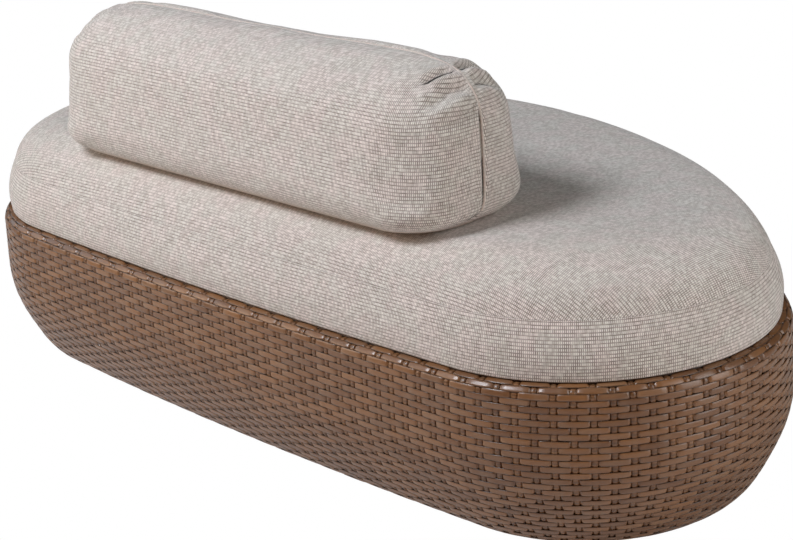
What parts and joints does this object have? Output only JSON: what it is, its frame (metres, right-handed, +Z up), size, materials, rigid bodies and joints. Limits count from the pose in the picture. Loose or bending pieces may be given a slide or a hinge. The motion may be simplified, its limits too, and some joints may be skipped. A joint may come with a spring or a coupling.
{
  "type": "outdoor sofa",
  "caption": "Low D-shaped outdoor sofa: a woven tub base with a wrapped rim, a loose seat cushion that fills it and a loose backrest bolster standing on the cushion.",
  "frame": {"origin": "centre of the overall box on the floor, under the middle of the sofa", "axes": "+X along the sofa's length, +Y from its nearly straight back side to its bowed front, +Z up from the floor"},
  "size_m": [1.5796, 0.8198, 0.6646],
  "materials": {
    "woven_resin_strand": "matt flat strand of round section, brown with a slight grey bloom",
    "coated_aluminium_frame": "fine-textured powder coat, satin",
    "plain_aluminium_slat": "drawn tube, satin",
    "steel_screw": "zinc-plated",
    "black_nylon_glide": "moulded, matt",
    "cushion_foam": "open-cell foam",
    "light_tweed_fabric": "light beige ribbed tweed with short dark dashes",
    "plain_base_fabric": "plain weave, greige",
    "zip_tape_and_coil": "woven tape with a plastic coil",
    "weighted_board": "dense moulded board"
  },
  "bodies": {
    "base": {"woven_wall": "woven_resin_strand", "rim_border": "woven_resin_strand", "foot_lap": "woven_resin_strand", "top_rail": "coated_aluminium_frame", "foot_ring": "coated_aluminium_frame", "belly_hoop": "coated_aluminium_frame", "lower_hoop": "coated_aluminium_frame", "frame_rib_1": "coated_aluminium_frame", "frame_rib_2": "coated_aluminium_frame", "frame_rib_3": "coated_aluminium_frame", "frame_rib_4": "coated_aluminium_frame", "frame_rib_5": "coated_aluminium_frame", "frame_rib_6": "coated_aluminium_frame", "frame_rib_7": "coated_aluminium_frame", "frame_rib_8": "coated_aluminium_frame", "frame_rib_9": "coated_aluminium_frame", "frame_rib_10": "coated_aluminium_frame", "frame_rib_11": "coated_aluminium_frame", "frame_rib_12": "coated_aluminium_frame", "cross_brace_1": "coated_aluminium_frame", "cross_brace_2": "coated_aluminium_frame", "cross_brace_3": "coated_aluminium_frame", "bearer_post_1": "coated_aluminium_frame", "bearer_post_2": "coated_aluminium_frame", "bearer_post_3": "coated_aluminium_frame", "deck_ledge_1": "coated_aluminium_frame", "deck_ledge_2": "coated_aluminium_frame", "deck_ledge_3": "coated_aluminium_frame", "deck_ledge_4": "coated_aluminium_frame", "deck_bearer": "coated_aluminium_frame", "deck_screws": "steel_screw", "deck_slat_1": "plain_aluminium_slat", "deck_slat_2": "plain_aluminium_slat", "deck_slat_3": "plain_aluminium_slat", "deck_slat_4": "plain_aluminium_slat", "deck_slat_5": "plain_aluminium_slat", "deck_slat_6": "plain_aluminium_slat", "deck_slat_7": "plain_aluminium_slat", "deck_slat_8": "plain_aluminium_slat", "deck_slat_9": "plain_aluminium_slat", "deck_slat_10": "plain_aluminium_slat", "deck_slat_11": "plain_aluminium_slat", "glide_1": "black_nylon_glide", "glide_2": "black_nylon_glide", "glide_3": "black_nylon_glide", "glide_4": "black_nylon_glide", "glide_5": "black_nylon_glide", "glide_6": "black_nylon_glide", "glide_screws": "steel_screw"},
    "seat_cushion": {"seat_foam": "cushion_foam", "seat_cover_top": "light_tweed_fabric", "seat_cover_band": "light_tweed_fabric", "seat_cover_base": "plain_base_fabric", "seat_zip": "zip_tape_and_coil"},
    "bolster": {"bolster_foam": "cushion_foam", "bolster_board": "weighted_board", "bolster_cover_front": "light_tweed_fabric", "bolster_cover_back": "light_tweed_fabric", "bolster_cover_base": "plain_base_fabric", "bolster_zip": "zip_tape_and_coil"}
  },
  "joints": [
    {"name": "seat_cushion_lift", "type": "slide", "parent": "base", "child": "seat_cushion", "axis": [0, 0, 1], "range_m": [0, 0.25]},
    {"name": "bolster_lift", "type": "slide", "parent": "seat_cushion", "child": "bolster", "axis": [0, 0, 1], "range_m": [0, 0.3]}
  ]
}
